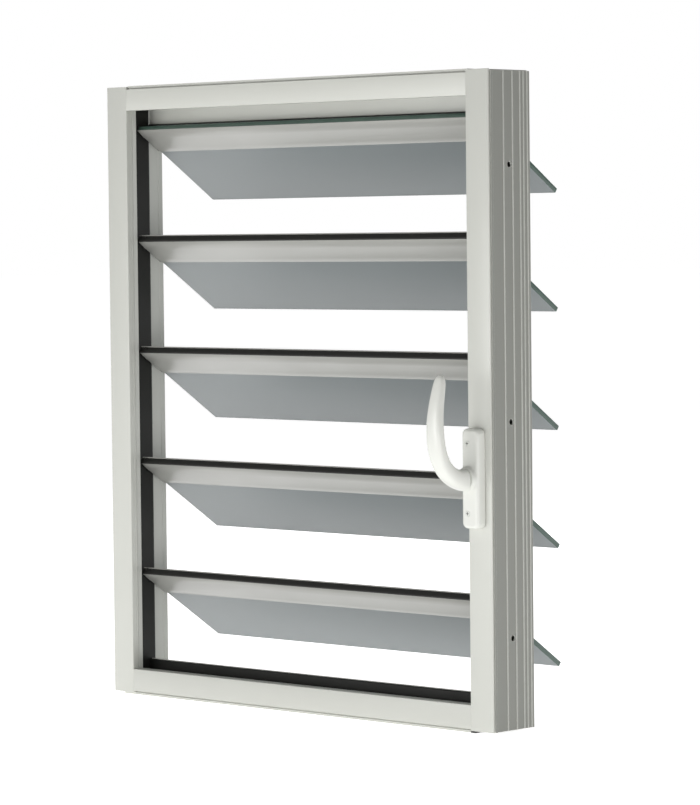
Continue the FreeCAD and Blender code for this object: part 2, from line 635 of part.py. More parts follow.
def handle_lever():
    """J-shaped lever: it leaves the boss towards the room, bends and rises to a rounded tip."""
    front = -size("frame_depth") / 2 - size("plate_thickness") - size("boss_rise") - 0.3
    reach, rise = size("lever_reach"), size("lever_rise")
    wide, thick = size("lever_width"), size("lever_thickness")
    # stations: share of the reach, share of the rise, share of the width, share of the thickness
    stations = ((0.0, -0.012, 1.12, 1.80), (0.18, -0.006, 1.06, 1.62), (0.46, 0.032, 1.0, 1.34),
                (0.74, 0.132, 1.0, 1.14), (0.90, 0.28, 1.02, 1.04), (0.965, 0.46, 1.0, 0.98),
                (0.93, 0.68, 0.84, 0.90), (0.80, 0.90, 0.66, 0.84), (0.765, 0.965, 0.52, 0.66),
                (0.755, 0.995, 0.24, 0.30))
    path = [V(0, front - reach * a, rise * b) for a, b, c, d in stations]
    wires = []
    for k, (a, b, c, d) in enumerate(stations):
        ahead, behind = path[min(k + 1, len(path) - 1)], path[max(k - 1, 0)]
        step = V(0, -1, 0) if k == 0 else (ahead - behind).normalize()
        wires.append(rounded_section(path[k], (step.y, step.z), wide * c, thick * d, 5.2))
    shape = Part.makeLoft(wires, True, False)
    bore = Part.makeCylinder(size("spindle_radius"), 8.7, V(0, front + 0.001, 0), V(0, -1, 0))
    item = doc.addObject("Part::Feature", "lever")
    item.Shape = shape.cut(bore)
    place(item, (across("right", "spindle_inset"), "0", "spindle_height"))
    keep(item, "handle_lever")


# ---------------------------------------------------------------- assembly and export

for side in SIDES:
    jamb(side)
    cover(side)
    jamb_seal(side)
    pivot_bushes(side)
sill()
head()
frame_plates()
frame_seals()
corner_keys()
for blade in BLADES:
    glass(blade)
    blade_strips(blade)
    for side in SIDES:
        end_cap(blade, side)
    crank(blade)
link_bar()
drive_spindle()
drive_slide()
rack_guide()
handle_plate()
handle_screws()
handle_lever()
doc.recompute()

for obj in doc.Objects:
    if "Invalid" in obj.State or "Error" in obj.State:
        raise RuntimeError("%s did not compute: %s" % (obj.Name, obj.State))
os.makedirs("parts", exist_ok=True)
for part in PARTS:
    shape = part.Shape
    if shape.isNull() or not shape.isValid() or not shape.Solids:
        raise RuntimeError("%s has no valid solid" % part.Label)
    print("%-24s solids %d  volume %.1f cm3" % (part.Label, len(shape.Solids), shape.Volume / 1000))
    shape.exportStep("parts/%s.step" % part.Label)
print("parts written:", len(PARTS))
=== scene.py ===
"""Looks of a louvre window: frame, tilting glass blades and a J-shaped turning handle."""

import logging
import math
from dataclasses import dataclass
from enum import Enum
from typing import Callable, Iterable, Sequence

import bpy
from mathutils import Matrix, Vector


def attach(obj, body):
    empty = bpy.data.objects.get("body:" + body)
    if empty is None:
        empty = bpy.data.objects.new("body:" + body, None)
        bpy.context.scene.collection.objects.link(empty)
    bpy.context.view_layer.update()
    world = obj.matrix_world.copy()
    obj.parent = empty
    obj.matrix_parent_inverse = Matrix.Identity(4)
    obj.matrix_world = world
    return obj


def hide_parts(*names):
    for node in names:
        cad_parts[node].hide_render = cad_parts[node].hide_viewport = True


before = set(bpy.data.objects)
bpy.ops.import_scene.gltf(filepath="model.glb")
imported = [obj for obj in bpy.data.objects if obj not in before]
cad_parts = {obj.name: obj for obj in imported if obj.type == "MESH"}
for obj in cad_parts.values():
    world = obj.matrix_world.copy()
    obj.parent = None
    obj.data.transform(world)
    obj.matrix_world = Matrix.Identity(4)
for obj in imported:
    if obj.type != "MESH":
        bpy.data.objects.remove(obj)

LOG = logging.getLogger("louvre_window")
MM = 0.001
Colour = tuple[float, float, float]
Outline = Sequence[tuple[float, float]]


class Slot(Enum):
    """Material slots of the record."""

    FRAME = "frame_paint"
    SEAL = "seal_rubber"
    GLASS = "blade_glass"
    RAIL = "rail_aluminium"
    CAP = "cap_black"
    HANDLE = "handle_white"
    STEEL = "zinc_steel"


class Plane(Enum):
    """Plane in which an outline is drawn; the prism grows along the remaining axis."""

    ACROSS = "yz"
    UPRIGHT = "xy"


# --------------------------------------------------------------------------- node helpers


def srgb(red: int, green: int, blue: int) -> Colour:
    """Turns an 8-bit display colour into linear light.

    Args:
        red: Red from 0 to 255.
        green: Green from 0 to 255.
        blue: Blue from 0 to 255.

    Returns:
        The linear colour.
    """

    def one(value: int) -> float:
        """Returns one channel in linear light."""
        v = value / 255
        return v / 12.92 if v <= 0.04045 else ((v + 0.055) / 1.055) ** 2.4

    return one(red), one(green), one(blue)


class EffectGroup:
    """A shader node group with named inputs and outputs, built once."""

    def __init__(self, name: str) -> None:
        """Starts an empty group.

        Args:
            name: Name of the effect.
        """
        self.tree = bpy.data.node_groups.new(name, "ShaderNodeTree")
        self.source = self.tree.nodes.new("NodeGroupInput")
        self.result = self.tree.nodes.new("NodeGroupOutput")

    def takes(self, name: str, kind: str, default: object) -> None:
        """Adds an input socket.

        Args:
            name: Socket name.
            kind: Short socket type, such as Float or Color.
            default: Value used where nothing else is given.
        """
        socket = self.tree.interface.new_socket(name, in_out="INPUT", socket_type="NodeSocket" + kind)
        socket.default_value = default

    def gives(self, name: str, kind: str) -> None:
        """Adds an output socket.

        Args:
            name: Socket name.
            kind: Short socket type, such as Float or Color.
        """
        self.tree.interface.new_socket(name, in_out="OUTPUT", socket_type="NodeSocket" + kind)

    def node(self, kind: str, **settings: object) -> bpy.types.Node:
        """Adds a node and sets its properties.

        Args:
            kind: Node type without the ShaderNode prefix.
            **settings: Properties of the node.

        Returns:
            The new node.
        """
        item = self.tree.nodes.new("ShaderNode" + kind)
        for key, value in settings.items():
            setattr(item, key, value)
        return item

    def link(self, start: bpy.types.NodeSocket, end: bpy.types.NodeSocket) -> None:
        """Joins two sockets."""
        self.tree.links.new(start, end)

    def maths(self, operation: str, *inputs: object) -> bpy.types.NodeSocket:
        """Adds a math node.

        Args:
            operation: Name of the operation.
            *inputs: Numbers or sockets.

        Returns:
            The result socket.
        """
        item = self.node("Math", operation=operation)
        for index, value in enumerate(inputs):
            if isinstance(value, bpy.types.NodeSocket):
                self.link(value, item.inputs[index])
            else:
                item.inputs[index].default_value = value
        return item.outputs[0]


def edge_wear_and_highlight_group() -> bpy.types.NodeTree:
    """Mask of rubbed outer edges and of painted edge highlights, broken up by noise.

    Returns:
        The group's node tree.
    """
    group = EffectGroup("edge_wear_and_highlight")
    group.takes("Radius", "Float", 0.0008)
    group.takes("Break Up", "Float", 90.0)
    group.gives("Mask", "Float")
    soft = group.node("Bevel", samples=4)
    flat = group.node("NewGeometry")
    group.link(group.source.outputs["Radius"], soft.inputs["Radius"])
    dot = group.node("VectorMath", operation="DOT_PRODUCT")
    group.link(soft.outputs[0], dot.inputs[0])
    group.link(flat.outputs["Normal"], dot.inputs[1])
    rim = group.maths("SUBTRACT", 1.0, dot.outputs["Value"])
    place = group.node("TexCoord")
    noise = group.node("TexNoise")
    noise.inputs["Detail"].default_value = 6.0
    group.link(place.outputs["Object"], noise.inputs["Vector"])
    group.link(group.source.outputs["Break Up"], noise.inputs["Scale"])
    worn_and_highlit = group.maths("MULTIPLY", rim, 5.0)
    broken = group.maths("MULTIPLY", worn_and_highlit, noise.outputs["Fac"])
    group.link(group.maths("MINIMUM", broken, 1.0), group.result.inputs["Mask"])
    return group.tree


def tone_group() -> bpy.types.NodeTree:
    """Slow drift of a colour towards a second one, with finer specks on top.

    Returns:
        The group's node tree.
    """
    group = EffectGroup("tone_drift")
    group.takes("Colour", "Color", (0.5, 0.5, 0.5, 1.0))
    group.takes("Second Colour", "Color", (0.45, 0.45, 0.45, 1.0))
    group.takes("Amount", "Float", 0.5)
    group.takes("Scale", "Float", 8.0)
    group.takes("Specks", "Float", 0.1)
    group.gives("Colour", "Color")
    group.gives("Mask", "Float")
    place = group.node("TexCoord")
    broad = group.node("TexNoise")
    broad.inputs["Detail"].default_value = 3.0
    fine = group.node("TexNoise")
    fine.inputs["Scale"].default_value = 900.0
    fine.inputs["Detail"].default_value = 2.0
    for item in (broad, fine):
        group.link(place.outputs["Object"], item.inputs["Vector"])
    group.link(group.source.outputs["Scale"], broad.inputs["Scale"])
    drift = group.maths("MULTIPLY", broad.outputs["Fac"], group.source.outputs["Amount"])
    grain = group.maths("MULTIPLY", group.maths("SUBTRACT", fine.outputs["Fac"], 0.5),
                        group.source.outputs["Specks"])
    share = group.node("Clamp")
    group.link(group.maths("ADD", drift, grain), share.inputs["Value"])
    mix = group.node("Mix", data_type="RGBA")
    group.link(share.outputs[0], mix.inputs["Factor"])
    group.link(group.source.outputs["Colour"], mix.inputs[6])
    group.link(group.source.outputs["Second Colour"], mix.inputs[7])
    group.link(mix.outputs[2], group.result.inputs["Colour"])
    group.link(share.outputs[0], group.result.inputs["Mask"])
    return group.tree


def skin_group() -> bpy.types.NodeTree:
    """Fine surface texture: rounded peel, stretched draw lines and a roughness that follows them.

    Returns:
        The group's node tree.
    """
    group = EffectGroup("surface_skin")
    group.takes("Peel Scale", "Float", 700.0)
    group.takes("Line Stretch", "Vector", (1.0, 1.0, 1.0))
    group.takes("Line Share", "Float", 0.2)
    group.takes("Roughness", "Float", 0.4)
    group.takes("Roughness Swing", "Float", 0.1)
    group.gives("Height", "Float")
    group.gives("Roughness", "Float")
    place = group.node("TexCoord")
    peel = group.node("TexNoise")
    peel.inputs["Detail"].default_value = 2.0
    group.link(place.outputs["Object"], peel.inputs["Vector"])
    group.link(group.source.outputs["Peel Scale"], peel.inputs["Scale"])
    stretch = group.node("VectorMath", operation="MULTIPLY")
    group.link(place.outputs["Object"], stretch.inputs[0])
    group.link(group.source.outputs["Line Stretch"], stretch.inputs[1])
    lines = group.node("TexNoise")
    lines.inputs["Scale"].default_value = 900.0
    lines.inputs["Detail"].default_value = 3.0
    group.link(stretch.outputs[0], lines.inputs["Vector"])
    smudge = group.node("TexNoise")
    smudge.inputs["Scale"].default_value = 14.0
    smudge.inputs["Detail"].default_value = 4.0
    group.link(place.outputs["Object"], smudge.inputs["Vector"])
    streak = group.maths("MULTIPLY", lines.outputs["Fac"], group.source.outputs["Line Share"])
    group.link(group.maths("ADD", peel.outputs["Fac"], streak), group.result.inputs["Height"])
    swing = group.maths("MULTIPLY", group.maths("SUBTRACT", smudge.outputs["Fac"], 0.5),
                        group.source.outputs["Roughness Swing"])
    group.link(group.maths("ADD", group.source.outputs["Roughness"], swing), group.result.inputs["Roughness"])
    return group.tree


def side_shade_group() -> bpy.types.NodeTree:
    """Mask of the faces that stand against the wall, left and right of the window, where shade is painted;
    only faces square to X count, so the rib steps keep the light coat as painted highlight lines.

    Returns:
        The group's node tree.
    """
    group = EffectGroup("painted_side_shade")
    group.takes("Half Width", "Float", 0.3125)
    group.gives("Mask", "Float")
    place = group.node("TexCoord")
    split = group.node("SeparateXYZ")
    group.link(place.outputs["Object"], split.inputs[0])
    away = group.maths("ABSOLUTE", split.outputs["X"])
    outside = group.maths("GREATER_THAN", away, group.source.outputs["Half Width"])
    facing = group.node("NewGeometry")
    lean = group.node("SeparateXYZ")
    group.link(facing.outputs["Normal"], lean.inputs[0])
    square_on = group.maths("GREATER_THAN", group.maths("ABSOLUTE", lean.outputs["X"]), 0.7)
    group.link(group.maths("MULTIPLY", outside, square_on), group.result.inputs["Mask"])
    return group.tree


@dataclass(frozen=True)
class Effects:
    """The shared node groups."""

    wear_and_highlight: bpy.types.NodeTree
    tone: bpy.types.NodeTree
    skin: bpy.types.NodeTree
    wall: bpy.types.NodeTree

    @classmethod
    def build(cls) -> "Effects":
        """Builds each effect once."""
        return cls(edge_wear_and_highlight_group(), tone_group(), skin_group(), side_shade_group())


# --------------------------------------------------------------------------- finishes


@dataclass(frozen=True)
class Finish:
    """A surface finish made from the shared effects and one Principled shader."""

    name: str
    colour: Colour
    second: Colour
    drift: float = 0.5
    drift_scale: float = 6.0
    specks: float = 0.1
    roughness: float = 0.4
    swing: float = 0.15
    metallic: float = 0.0
    peel_scale: float = 700.0
    bump: float = 0.1
    bump_depth: float = 0.0002
    stretch: tuple[float, float, float] = (1.0, 1.0, 1.0)
    line_share: float = 0.0
    # Lighter colour for edges: partly wear, partly a painted highlight.
    worn_and_highlit: Colour = (0.7, 0.7, 0.68)
    wear_and_highlight: float = 0.4
    wear_and_highlight_radius: float = 0.0008
    transmission: float = 0.0
    coat: float = 0.0
    ior: float = 1.5
    painted_side_shade_colour: Colour | None = None

    def make(self, effects: Effects) -> bpy.types.Material:
        """Builds the material.

        Args:
            effects: The shared node groups.

        Returns:
            The finished material.
        """
        material = bpy.data.materials.new(self.name)
        material.use_nodes = True
        tree = material.node_tree
        shader = next(n for n in tree.nodes if n.type == "BSDF_PRINCIPLED")

        def effect(source: bpy.types.NodeTree, **values: object) -> bpy.types.Node:
            """Places one shared effect and sets its inputs.

            Args:
                source: The effect's node tree.
                **values: Input values, by socket name with _ for a space.

            Returns:
                The group node.
            """
            item = tree.nodes.new("ShaderNodeGroup")
            item.node_tree = source
            for key, value in values.items():
                item.inputs[key.replace("_", " ")].default_value = value
            return item

        tone = effect(effects.tone, Colour=(*self.colour, 1.0), Second_Colour=(*self.second, 1.0),
                      Amount=self.drift, Scale=self.drift_scale, Specks=self.specks)
        skin = effect(effects.skin, Peel_Scale=self.peel_scale, Line_Stretch=self.stretch,
                      Line_Share=self.line_share, Roughness=self.roughness, Roughness_Swing=self.swing)
        # Rubbed edges take the lighter edge colour; this is partly wear and partly a painted highlight along
        # the edges.
        rub_and_highlight = effect(effects.wear_and_highlight, Radius=self.wear_and_highlight_radius, Break_Up=120.0)
        share = tree.nodes.new("ShaderNodeMath")
        share.operation = "MULTIPLY"
        share.inputs[1].default_value = self.wear_and_highlight
        tree.links.new(rub_and_highlight.outputs["Mask"], share.inputs[0])
        mix = tree.nodes.new("ShaderNodeMix")
        mix.data_type = "RGBA"
        tree.links.new(share.outputs[0], mix.inputs["Factor"])
        ground = tone.outputs["Colour"]
        # The outward jamb faces take a darker colour: painted shade on the sides turned away from the light.
        if self.painted_side_shade_colour:
            back = tree.nodes.new("ShaderNodeMix")
            back.data_type = "RGBA"
            tree.links.new(effect(effects.wall).outputs["Mask"], back.inputs["Factor"])
            tree.links.new(ground, back.inputs[6])
            back.inputs[7].default_value = (*self.painted_side_shade_colour, 1.0)
            ground = back.outputs[2]
        tree.links.new(ground, mix.inputs[6])
        mix.inputs[7].default_value = (*self.worn_and_highlit, 1.0)
        tree.links.new(mix.outputs[2], shader.inputs["Base Color"])
        tree.links.new(skin.outputs["Roughness"], shader.inputs["Roughness"])
        bump = tree.nodes.new("ShaderNodeBump")
        bump.inputs["Strength"].default_value = self.bump
        bump.inputs["Distance"].default_value = self.bump_depth
        tree.links.new(skin.outputs["Height"], bump.inputs["Height"])
        tree.links.new(bump.outputs["Normal"], shader.inputs["Normal"])
        shader.inputs["Metallic"].default_value = self.metallic
        shader.inputs["Transmission Weight"].default_value = self.transmission
        shader.inputs["IOR"].default_value = self.ior
        shader.inputs["Coat Weight"].default_value = self.coat
        shader.inputs["Coat Roughness"].default_value = 0.12
        return material


FINISHES = (
    Finish("powder_coat", srgb(206, 207, 200), srgb(198, 199, 192), roughness=0.42, bump=0.12, coat=0.15,
           worn_and_highlit=srgb(232, 232, 228)),
    # On the jambs the darker outward-side colour is painted shade, and the strong light edge colour paints
    # highlights on the rib edges, partly wear.
    Finish("jamb_side_coat", srgb(206, 207, 201), srgb(197, 198, 192), roughness=0.46, bump=0.10,
           stretch=(1.0, 1.0, 0.02), line_share=0.5, worn_and_highlit=srgb(226, 226, 221), wear_and_highlight=0.75, wear_and_highlight_radius=0.0012,
           painted_side_shade_colour=srgb(143, 144, 138)),
    Finish("rail_satin", srgb(165, 165, 160), srgb(155, 155, 150), roughness=0.36, metallic=0.15, bump=0.10,
           stretch=(0.02, 1.0, 1.0), line_share=0.7, worn_and_highlit=srgb(215, 216, 214), coat=0.1),
    Finish("seal_rubber_skin", srgb(14, 15, 11), srgb(23, 23, 19), drift=0.7, roughness=0.62, bump=0.25,
           peel_scale=1100.0, specks=0.3, worn_and_highlit=srgb(74, 74, 70), wear_and_highlight=0.35),
    Finish("cap_moulding_and_recess_shade", srgb(30, 31, 29), srgb(44, 44, 42), drift=0.6, roughness=0.48, bump=0.18,
           peel_scale=1400.0, specks=0.25, worn_and_highlit=srgb(70, 70, 68)),
    Finish("handle_enamel", srgb(226, 227, 221), srgb(216, 217, 210), roughness=0.34, bump=0.06, coat=0.25,
           drift_scale=18.0, worn_and_highlit=srgb(238, 238, 234), wear_and_highlight=0.25),
    Finish("bush_nylon_skin", srgb(208, 205, 190), srgb(192, 188, 172), roughness=0.5, bump=0.1),
    Finish("zinc_plate", srgb(160, 162, 164), srgb(132, 135, 137), drift=0.8, drift_scale=60.0,
           roughness=0.32, metallic=1.0, bump=0.12, stretch=(1.0, 1.0, 0.05), line_share=0.6,
           worn_and_highlit=srgb(205, 206, 208)),
    Finish("mill_alloy", srgb(180, 181, 180), srgb(158, 160, 160), roughness=0.38, metallic=1.0, bump=0.12,
           stretch=(0.03, 1.0, 1.0), line_share=0.9),
    Finish("blade_glass_face", srgb(149, 156, 157), srgb(142, 150, 152), drift=0.6, drift_scale=3.0,
           specks=0.02, roughness=0.42, swing=0.04, bump=0.05, bump_depth=0.0001, peel_scale=260.0, wear_and_highlight=0.0,
           transmission=0.5),
    Finish("blade_glass_edge", srgb(66, 84, 76), srgb(88, 112, 102), drift=0.9, drift_scale=24.0, specks=0.1,
           roughness=0.16, bump=0.15, stretch=(0.02, 1.0, 1.0), line_share=0.8, peel_scale=400.0, wear_and_highlight=0.15,
           worn_and_highlit=srgb(150, 180, 168), transmission=0.15),
)


class Wardrobe:
    """All the finished materials, by name."""

    def __init__(self) -> None:
        """Builds each finish once."""
        effects = Effects.build()
        self.materials = {finish.name: finish.make(effects) for finish in FINISHES}

    def dress(self, item: bpy.types.Object, *names: str) -> None:
        """Gives an object its materials.

        Args:
            item: The object.
            *names: Finish names, one per material slot.
        """
        while len(item.data.materials) < len(names):
            item.data.materials.append(None)
        for index in range(len(item.data.materials)):
            item.data.materials[index] = self.materials[names[min(index, len(names) - 1)]]


# --------------------------------------------------------------------------- modelling helpers


def deselect() -> None:
    """Leaves nothing selected in object mode."""
    if bpy.context.object and bpy.context.object.mode != "OBJECT":
        bpy.ops.object.mode_set(mode="OBJECT")
    bpy.ops.object.select_all(action="DESELECT")


def only(item: bpy.types.Object) -> None:
    """Makes one object the active and only selected one.

    Args:
        item: The object.
    """
    deselect()
    item.select_set(True)
    bpy.context.view_layer.objects.active = item


def finish_mesh(item: bpy.types.Object, angle: float = 35.0) -> bpy.types.Object:
    """Merges doubles, turns the faces outwards and smooths by angle.

    Args:
        item: The object.
        angle: Largest angle that is smoothed, in degrees.

    Returns:
        The same object.
    """
    only(item)
    bpy.ops.object.transform_apply(location=True, rotation=True, scale=True)
    bpy.ops.object.mode_set(mode="EDIT")
    bpy.ops.mesh.select_all(action="SELECT")
    bpy.ops.mesh.remove_doubles(threshold=1e-6)
    bpy.ops.mesh.normals_make_consistent(inside=False)
    bpy.ops.object.mode_set(mode="OBJECT")
    bpy.ops.object.shade_smooth_by_angle(angle=math.radians(angle))
    return item


def modify(item: bpy.types.Object, kind: str, **settings: object) -> None:
    """Adds a modifier and applies it.

    Args:
        item: The object.
        kind: Modifier type.
        **settings: Its properties.
    """
    only(item)
    modifier = item.modifiers.new(kind.lower(), kind)
    for key, value in settings.items():
        setattr(modifier, key, value)
    bpy.ops.object.modifier_apply(modifier=modifier.name)


def prism(name: str, outline: Outline, plane: Plane, start: float, end: float,
          bevel: float = 0.0, segments: int = 2) -> bpy.types.Object:
    """Draws an outline and extrudes it.

    Args:
        name: Name of the piece.
        outline: Corners in metres.
        plane: Plane of the outline.
        start: Where the prism starts along its axis.
        end: Where it ends.
        bevel: Width of the rounding on sharp edges.
        segments: Steps of that rounding.

    Returns:
        The new object.
    """
    deselect()
    bpy.ops.mesh.primitive_circle_add(vertices=len(outline), radius=0.01, fill_type="NGON")
    item = bpy.context.object
    item.name = item.data.name = name
    for corner, (a, b) in zip(item.data.vertices, outline):
        corner.co = Vector((start, a, b)) if plane is Plane.ACROSS else Vector((a, b, start))
    step = (end - start, 0.0, 0.0) if plane is Plane.ACROSS else (0.0, 0.0, end - start)
    bpy.ops.object.mode_set(mode="EDIT")
    bpy.ops.mesh.select_all(action="SELECT")
    bpy.ops.mesh.extrude_region_move(TRANSFORM_OT_translate={"value": step})
    bpy.ops.mesh.select_all(action="SELECT")
    bpy.ops.mesh.normals_make_consistent(inside=False)
    bpy.ops.object.mode_set(mode="OBJECT")
    if bevel:
        modify(item, "BEVEL", width=bevel, segments=segments, limit_method="ANGLE",
               angle_limit=math.radians(25), use_clamp_overlap=True)
    return item


def block(name: str, low: Sequence[float], high: Sequence[float], bevel: float) -> bpy.types.Object:
    """A box between two corners with rounded edges.

    Args:
        name: Name of the piece.
        low: Lowest corner.
        high: Highest corner.
        bevel: Edge rounding.

    Returns:
        The new object.
    """
    deselect()
    centre = [(a + b) / 2 for a, b in zip(low, high)]
    bpy.ops.mesh.primitive_cube_add(size=1.0, location=centre, scale=[b - a for a, b in zip(low, high)])
    item = bpy.context.object
    item.name = item.data.name = name
    bpy.ops.object.transform_apply(location=True, rotation=True, scale=True)
    if bevel:
        modify(item, "BEVEL", width=bevel, segments=3, limit_method="ANGLE", use_clamp_overlap=True)
    return item


def round_edges(item: bpy.types.Object, radius: float, segments: int,
                wanted: Callable[[Vector, Vector], bool]) -> None:
    """Rounds only the edges that a test picks.

    Args:
        item: The object.
        radius: Edge rounding.
        segments: Steps of the rounding.
        wanted: Test on the two ends of an edge.
    """
    edges = item.data.attributes
    weights = edges.get("bevel_weight_edge") or edges.new("bevel_weight_edge", "FLOAT", "EDGE")
    for edge in item.data.edges:
        start, end = (item.data.vertices[i].co for i in edge.vertices)
        weights.data[edge.index].value = float(wanted(start, end))
    modify(item, "BEVEL", width=radius, segments=segments, limit_method="WEIGHT")


def turned(name: str, centre: Sequence[float], along: str, radius: float, length: float,
           bevel: float = 0.0, sides: int = 48, top: float | None = None) -> bpy.types.Object:
    """A round bar or cone centred on a point.

    Args:
        name: Name of the piece.
        centre: Middle of the bar.
        along: Axis letter.
        radius: Radius at the start.
        length: Length along the axis.
        bevel: Edge rounding.
        sides: Number of sides.
        top: Radius at the far end, if it differs.

    Returns:
        The new object.
    """
    deselect()
    turn = {"x": (0.0, math.pi / 2, 0.0), "y": (math.pi / 2, 0.0, 0.0), "z": (0.0, 0.0, 0.0)}[along]
    bpy.ops.mesh.primitive_cone_add(vertices=sides, radius1=radius, radius2=radius if top is None else top,
                                    depth=length, location=centre, rotation=turn)
    item = bpy.context.object
    item.name = item.data.name = name
    bpy.ops.object.transform_apply(location=True, rotation=True, scale=True)
    if bevel:
        modify(item, "BEVEL", width=bevel, segments=3, limit_method="ANGLE", use_clamp_overlap=True)
    return item


def weld(name: str, pieces: Sequence[bpy.types.Object]) -> bpy.types.Object:
    """Joins pieces into one object.

    Args:
        name: Name of the result.
        pieces: The pieces; the first one stays.

    Returns:
        The joined object.
    """
    only(pieces[0])
    for piece in pieces[1:]:
        piece.select_set(True)
    if len(pieces) > 1:
        bpy.ops.object.join()
    pieces[0].name = pieces[0].data.name = name
    return pieces[0]


def carve(item: bpy.types.Object, cutters: Iterable[bpy.types.Object]) -> None:
    """Cuts each cutter out of an object.

    Args:
        item: The object.
        cutters: Solids to take away; they are removed afterwards.
    """
    for cutter in cutters:
        modify(item, "BOOLEAN", operation="DIFFERENCE", object=cutter, solver="EXACT")
        bpy.data.objects.remove(cutter)


# --------------------------------------------------------------------------- the window


@dataclass
class FrameSet:
    """The fixed frame: jambs, clip-on covers, sill, head, plates and seals. Sizes in millimetres."""

    width: float = 630.0
    height: float = 750.0
    depth: float = 70.0
    face: float = 34.0
    plate: float = 2.5
    box: float = 16.0
    shadow: float = 1.7
    groove: tuple[float, float] = (5.0, 14.0)
    sill_step: float = 2.0
    head_step: float = 1.6
    web: float = 2.0
    sill_top: float = 31.6
    sill_shelf_drop: float = 9.0
    cover_top: float = 749.0
    cover_round: float = 0.35
    lip_top: float = 41.2
    lip_back: float = 40.2
    lip: float = 1.7
    head_bottom: float = 720.0
    head_shelf_rise: float = 10.0
    downstand_bottom: float = 692.0
    downstand_back: float = 48.0
    edge_round: float = 0.4
    seal_line: float = 26.0

    def at(self, side: int, inset: float) -> float:
        """Returns X in metres of a point inset from a jamb's outer edge."""
        return side * (self.width / 2 - inset) * MM

    def deep(self, depth: float) -> float:
        """Returns Y in metres of a point behind the room-side face."""
        return (depth - self.depth / 2) * MM

    def cover(self, side: int, name: str, wardrobe: Wardrobe) -> bpy.types.Object:
        """Clip-on face strip of one jamb.

        Args:
            side: -1 for left, 1 for right.
            name: CAD node that it stands for.
            wardrobe: The materials.

        Returns:
            The piece.
        """
        rim = 2.5 + self.shadow
        outline = [(0, 0), (self.face, 0), (self.face, 5.7), (self.face - 0.5, 6.0), (self.face - 0.5, 6.2),
                   (self.face, 6.5), (self.face, 9.3), (self.face - 2, 9.3), (self.face - 2, rim), (3.4, rim),
                   (3.4, 2.4), (0, 1.8)]
        item = prism(name + "_skin", [(self.at(side, u), self.deep(d)) for u, d in outline], Plane.UPRIGHT,
                     self.plate * MM, self.cover_top * MM, self.cover_round * MM, 2)
        finish_mesh(item)
        wardrobe.dress(item, "powder_coat")
        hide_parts(name)
        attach(item, "frame")
        return item

    def rail(self, name: str, front: Outline, rear: Outline, wardrobe: Wardrobe) -> bpy.types.Object:
        """Sill or head: a box between the jamb faces and a web behind it.

        Args:
            name: CAD node that it stands for.
            front: Outline of the box in millimetres.
            rear: Outline of the web behind it.
            wardrobe: The materials.

        Returns:
            The piece.
        """
        pieces = []
        for tag, outline, inset in (("box", front, self.face), ("web", rear, self.seal_line)):
            points = [(self.deep(d), z * MM) for d, z in outline]
            pieces.append(prism(f"{name}_{tag}", points, Plane.ACROSS, self.at(-1, inset), self.at(1, inset),
                                self.edge_round * MM, 3))
        item = finish_mesh(weld(name + "_skin", pieces))
        wardrobe.dress(item, "powder_coat")
        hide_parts(name)
        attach(item, "frame")
        return item

    def build(self, wardrobe: Wardrobe) -> None:
        """Builds the frame's skins and hides the CAD nodes that they stand for.

        Args:
            wardrobe: The materials.
        """
        for side, name in ((-1, "left_jamb_cover"), (1, "right_jamb_cover")):
            LOG.info("built %s", self.cover(side, name, wardrobe).name)
        near, far = self.groove
        foot = self.plate
        step = foot + self.sill_step
        sill_box = [(0, step), (near, step), (near, foot), (far, foot), (far, step), (self.box, step),
                    (self.box, self.sill_top), (0, self.sill_top)]
        shelf, back = self.sill_top - self.sill_shelf_drop, self.lip_back
        shelf_face, lip_face = shelf + self.web, back - self.lip
        sill_web = [(self.box, shelf), (back, shelf), (back, self.lip_top), (lip_face, self.lip_top),
                    (lip_face, shelf_face), (self.box, shelf_face)]
        LOG.info("built %s", self.rail("sill", sill_box, sill_web, wardrobe).name)
        top = self.height - self.plate
        step = top - self.head_step
        head_box = [(0, step), (near, step), (near, top), (far, top), (far, step), (self.box, step),
                    (self.box, self.head_bottom), (0, self.head_bottom)]
        ceiling, heel = self.head_bottom + self.head_shelf_rise, self.downstand_back
        head_web = [(self.box, ceiling), (heel, ceiling), (heel, self.downstand_bottom),
                    (heel - self.web, self.downstand_bottom), (heel - self.web, ceiling - self.web),
                    (self.box, ceiling - self.web)]
        LOG.info("built %s", self.rail("head", head_box, head_web, wardrobe).name)
        seal_front, seal_top = back - 5.2, self.lip_top - 0.7
        seal = [(seal_front, shelf_face), (lip_face, shelf_face), (lip_face, seal_top),
                (back - 4.2, seal_top), (seal_front, self.lip_top - 1.7)]
        item = prism("sill_seal_strip", [(self.deep(d), z * MM) for d, z in seal], Plane.ACROSS,
                     self.at(-1, self.seal_line), self.at(1, self.seal_line), self.edge_round * MM, 2)
        finish_mesh(item)
        wardrobe.dress(item, "seal_rubber_skin")
        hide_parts("sill_seal")
        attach(item, "frame")
        LOG.info("built %s", item.name)


